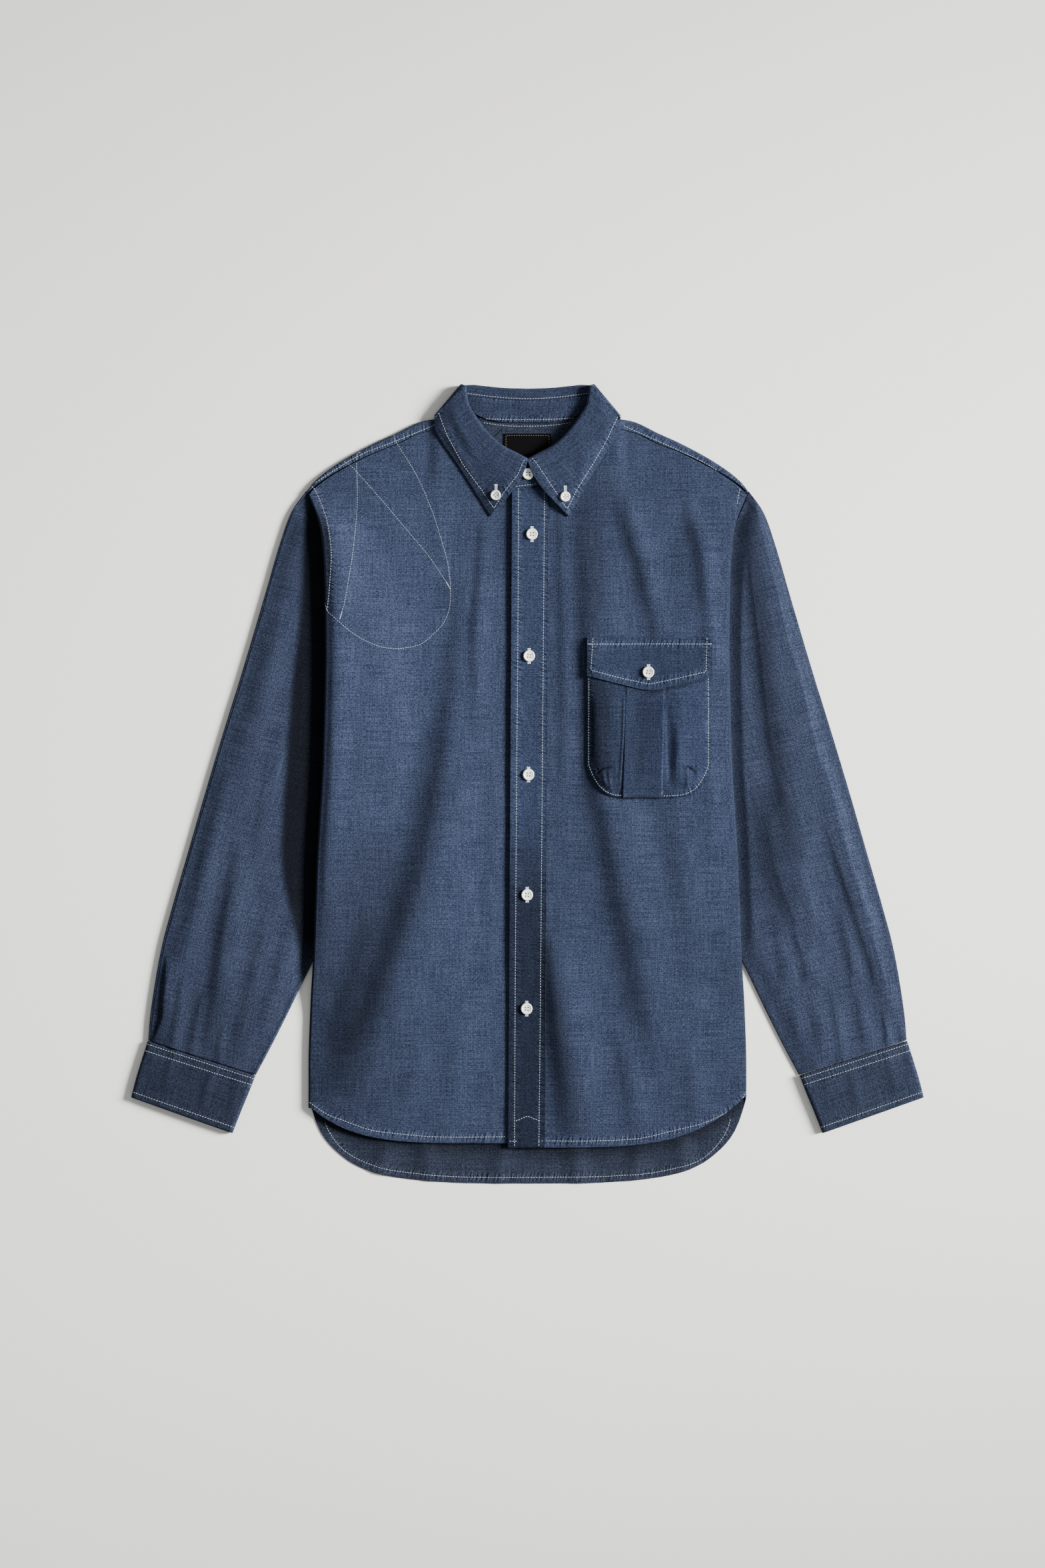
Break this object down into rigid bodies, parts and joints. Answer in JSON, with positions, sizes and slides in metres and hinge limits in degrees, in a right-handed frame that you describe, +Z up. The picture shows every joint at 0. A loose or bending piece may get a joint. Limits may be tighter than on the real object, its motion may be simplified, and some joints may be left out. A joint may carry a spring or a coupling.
{
  "type": "chambray shirt",
  "caption": "Long-sleeved chambray work shirt laid flat: button-down collar, buttoned front, one flapped box-pleat chest pocket, buttoned cuffs, curved shirt-tail hem.",
  "frame": {"origin": "middle of the laid shirt's bounding box, on the surface that it lies on", "axes": "+Z up from the surface through the thin way of the laid shirt, +Y from the hem towards the collar, +X towards the wearer's left side (the image right)"},
  "size_m": [0.7856, 0.7925, 0.0155],
  "materials": {
    "chambray_front": "mid-blue chambray, indigo warp and white weft, dry matt hand",
    "chambray_sleeve": "the same chambray",
    "chambray_inside": "the same chambray, its inside face",
    "chambray_collar": "the same chambray, interlined",
    "chambray_cuff": "the same chambray, interlined, slightly darker",
    "chambray_placket": "the same chambray, folded",
    "label_black": "plain black woven label, no text",
    "button_white": "pearly white, four holes"
  },
  "bodies": {
    "root": {"front_right": "chambray_front", "front_left": "chambray_front", "pocket": "chambray_front", "pocket_flap": "chambray_front", "sleeve_right": "chambray_sleeve", "sleeve_left": "chambray_sleeve", "back": "chambray_inside", "yoke": "chambray_inside", "label_patch": "chambray_inside", "collar_leaf": "chambray_collar", "collar_stand": "chambray_collar", "cuff_right": "chambray_cuff", "cuff_left": "chambray_cuff", "placket": "chambray_placket", "neck_label": "label_black", "button_neck": "button_white", "button_front_1": "button_white", "button_front_2": "button_white", "button_front_3": "button_white", "button_front_4": "button_white", "button_front_5": "button_white", "button_flap": "button_white", "button_collar_right": "button_white", "button_collar_left": "button_white"}
  },
  "joints": []
}
